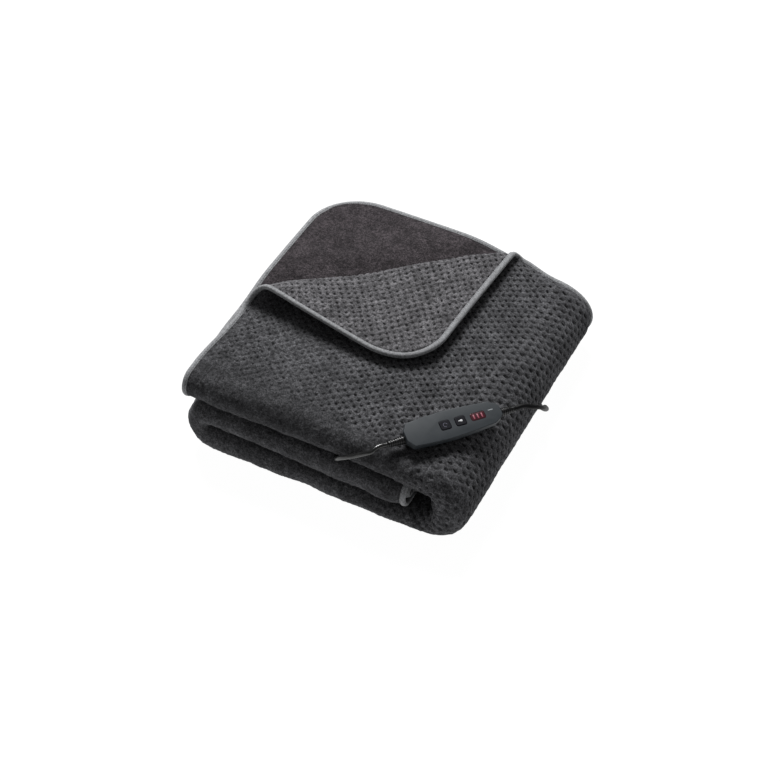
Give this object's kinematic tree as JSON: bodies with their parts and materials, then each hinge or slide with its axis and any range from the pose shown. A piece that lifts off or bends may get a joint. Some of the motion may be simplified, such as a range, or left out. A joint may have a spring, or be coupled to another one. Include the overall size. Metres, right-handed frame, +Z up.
{
  "type": "electric heated blanket",
  "caption": "Folded electric heated blanket with a turned-back corner and bound edge, a hand controller lying on top, and a mains lead that ends in a coil and a plug behind the pile.",
  "frame": {"origin": "on the floor, under the middle of the folded pile", "axes": "+X to the right along the pile's front edge, +Y to the back, +Z up"},
  "size_m": [0.4051, 0.4885, 0.1553],
  "materials": {
    "fleece": "waffle-textured polyester fleece, charcoal grey",
    "binding_tape": "woven polyester binding tape, mid grey",
    "controller_plastic": "fine matt moulded plastic, slate grey",
    "button_plastic": "satin moulded plastic, near black",
    "display_plastic": "smooth dark red translucent window",
    "soft_vinyl": "smooth black flexible vinyl",
    "pin_metal": "nickel-plated brass"
  },
  "bodies": {
    "pile": {"blanket_cloth": "fleece", "edge_binding": "binding_tape", "controller_upper_shell": "controller_plastic", "controller_lower_shell": "controller_plastic", "display_window": "display_plastic", "relief_blanket_lead": "soft_vinyl", "relief_mains_lead": "soft_vinyl", "blanket_lead": "soft_vinyl", "mains_lead": "soft_vinyl", "mains_lead_coil": "soft_vinyl", "mains_lead_tail": "soft_vinyl", "mains_plug": "soft_vinyl", "plug_pin_left": "pin_metal", "plug_pin_right": "pin_metal"},
    "power_key": {"power_button": "button_plastic"},
    "heat_key": {"heat_button": "button_plastic"}
  },
  "joints": [
    {"name": "power_button_press", "type": "slide", "parent": "pile", "child": "power_key", "axis": [-0.2855, 0.1142, -0.9516], "range_m": [0, 0.001], "stiffness_N_per_m": 800, "springref_m": -0.001},
    {"name": "heat_button_press", "type": "slide", "parent": "pile", "child": "heat_key", "axis": [-0.2855, 0.1142, -0.9516], "range_m": [0, 0.001], "stiffness_N_per_m": 800, "springref_m": -0.001}
  ]
}
